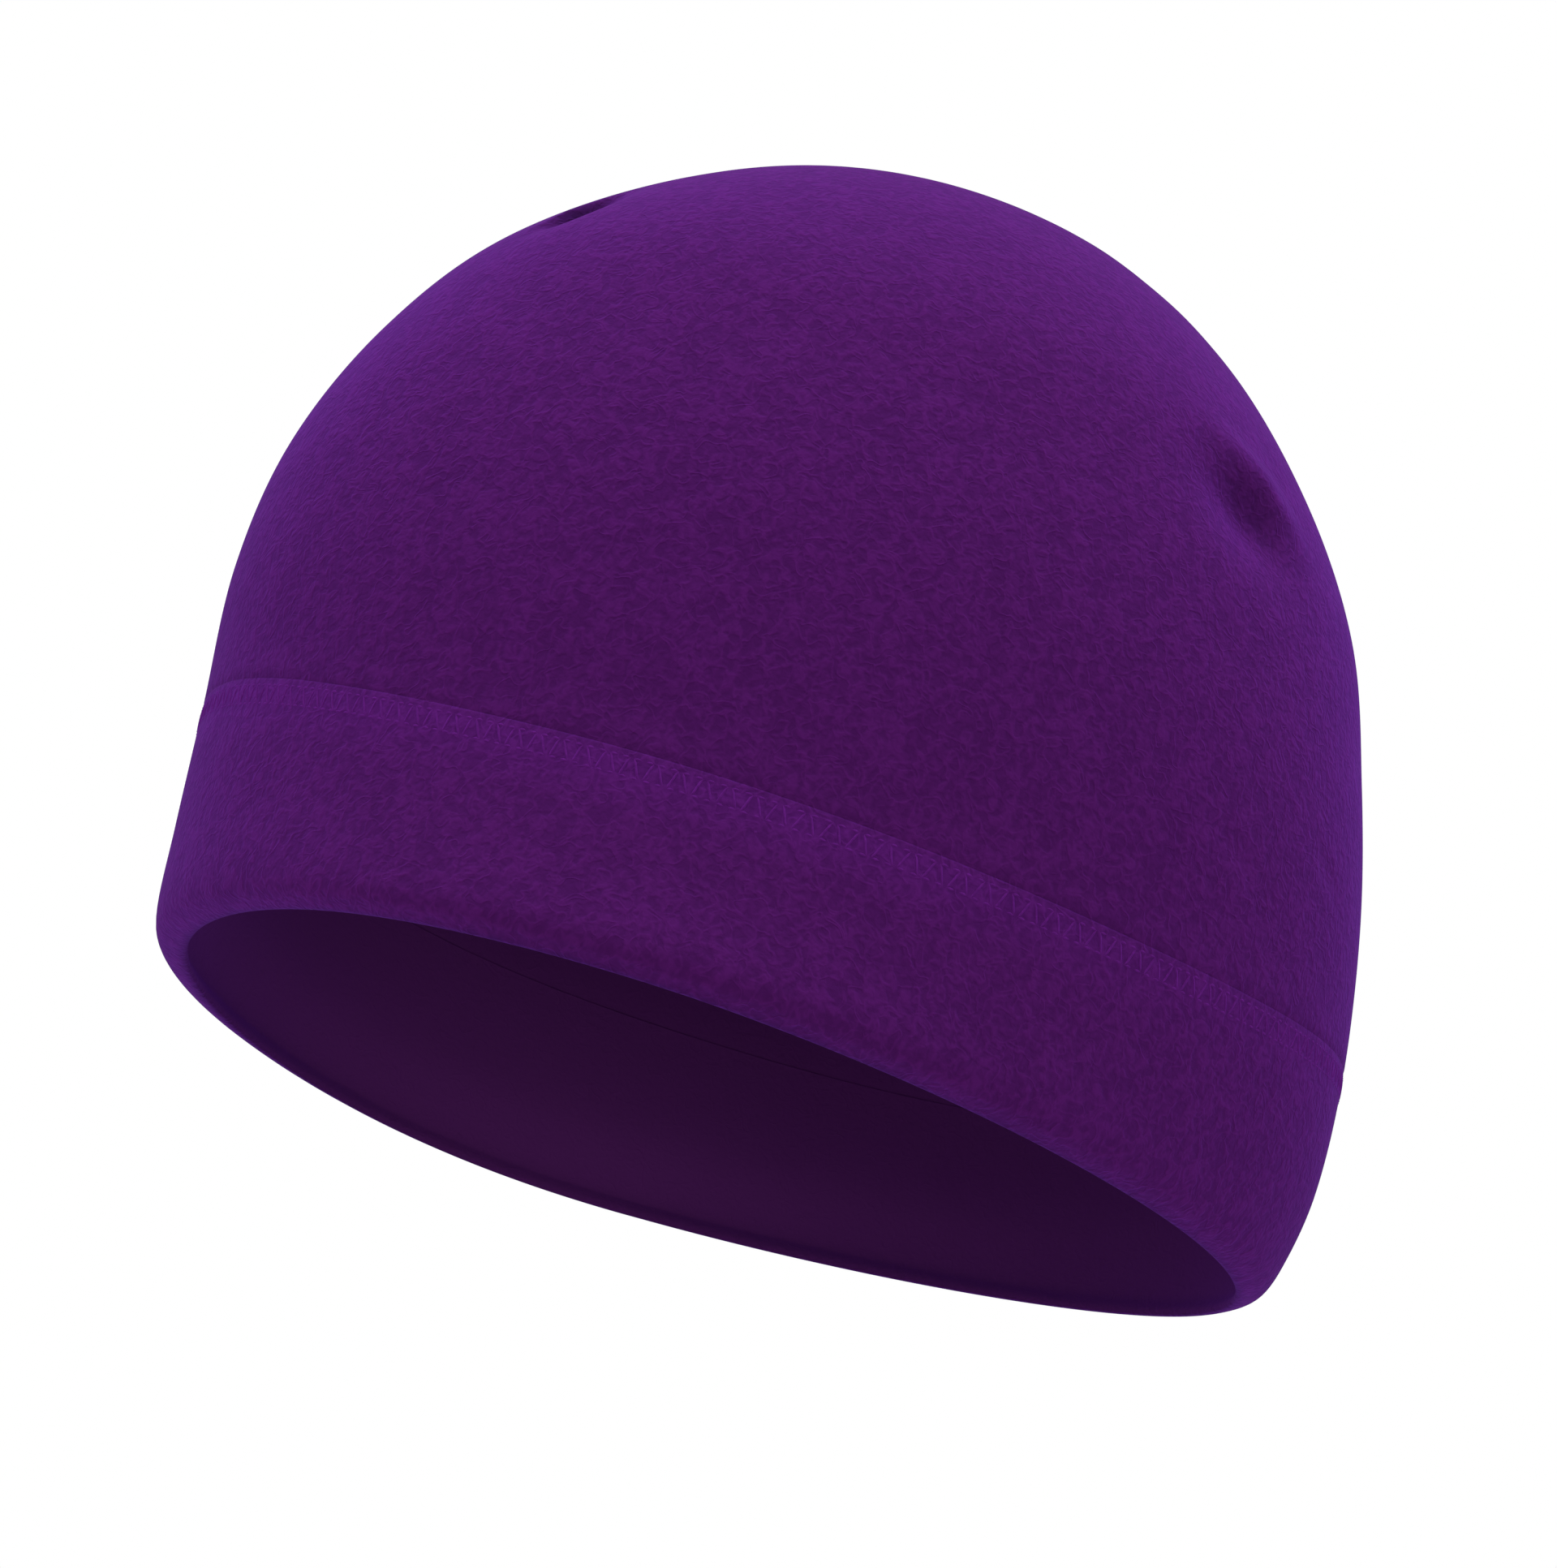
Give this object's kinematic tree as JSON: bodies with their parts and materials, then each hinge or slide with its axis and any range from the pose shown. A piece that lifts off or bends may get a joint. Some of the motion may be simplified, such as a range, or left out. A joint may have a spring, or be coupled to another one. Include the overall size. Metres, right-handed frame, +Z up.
{
  "type": "fleece beanie",
  "caption": "Worn-shape pull-on skull-cap beanie of brushed stretch fleece: domed crown closed by darts, deep double-folded band, open below.",
  "frame": {"origin": "inside of the crown's top, where a head bears and from which the cap is held up", "axes": "+Z up through the crown, the rim in a level plane below; -Y the wearer's front, +X the wearer's left"},
  "size_m": [0.1866, 0.2309, 0.1909],
  "materials": {
    "crown_fleece": "brushed stretch fleece, soft matt nap",
    "band_fleece": "brushed stretch fleece, soft matt nap, folded double"
  },
  "bodies": {
    "root": {"crown": "crown_fleece", "band": "band_fleece"}
  },
  "joints": []
}
